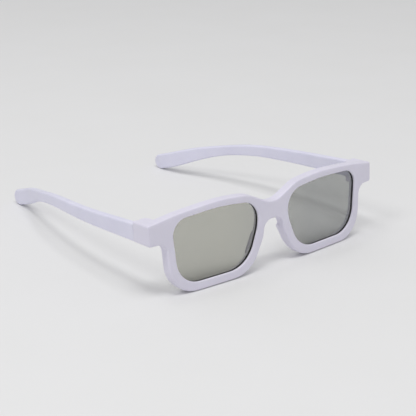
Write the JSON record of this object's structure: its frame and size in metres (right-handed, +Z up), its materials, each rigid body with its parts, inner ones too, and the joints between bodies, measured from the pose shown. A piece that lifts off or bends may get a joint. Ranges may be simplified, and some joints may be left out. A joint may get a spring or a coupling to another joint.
{
  "type": "polarised goggles",
  "caption": "Open-frame viewing goggles with circular polarising lens laminates in a curved moulded front and folding, inward-curving temples on hinge pins.",
  "frame": {"origin": "centre of the whole open object's bounding box, on the floor that the rims and temple tips stand on", "axes": "+Z up, lenses face -Y, temples run towards +Y, +X is the wearer's left"},
  "size_m": [0.145, 0.1636, 0.0418],
  "materials": {
    "frame_shell": "satin moulded, pale lavender white",
    "temple_plastic": "satin moulded, pale lavender white",
    "retainer_plastic": "satin moulded",
    "retarder_film": "clear gloss film",
    "polariser_film": "grey-green polarising film",
    "backing_sheet": "clear gloss sheet",
    "pin_steel": "drawn steel"
  },
  "bodies": {
    "frame": {"front_frame": "frame_shell", "left_lens_retainer": "retainer_plastic", "right_lens_retainer": "retainer_plastic", "left_retarder_film": "retarder_film", "right_retarder_film": "retarder_film", "left_polariser_film": "polariser_film", "right_polariser_film": "polariser_film", "left_backing_sheet": "backing_sheet", "right_backing_sheet": "backing_sheet", "left_hinge_pin": "pin_steel", "right_hinge_pin": "pin_steel"},
    "left_temple_arm": {"left_temple": "temple_plastic"},
    "right_temple_arm": {"right_temple": "temple_plastic"}
  },
  "joints": [
    {"name": "left_temple_fold", "type": "hinge", "parent": "frame", "child": "left_temple_arm", "pos_m": [0.0674, -0.06725, 0.0317], "axis": [0, 0.0571, 0.9984], "range_deg": [0, 84]},
    {"name": "right_temple_fold", "type": "hinge", "parent": "frame", "child": "right_temple_arm", "pos_m": [-0.0674, -0.06725, 0.0317], "axis": [0, -0.0571, -0.9984], "range_deg": [0, 79]}
  ]
}
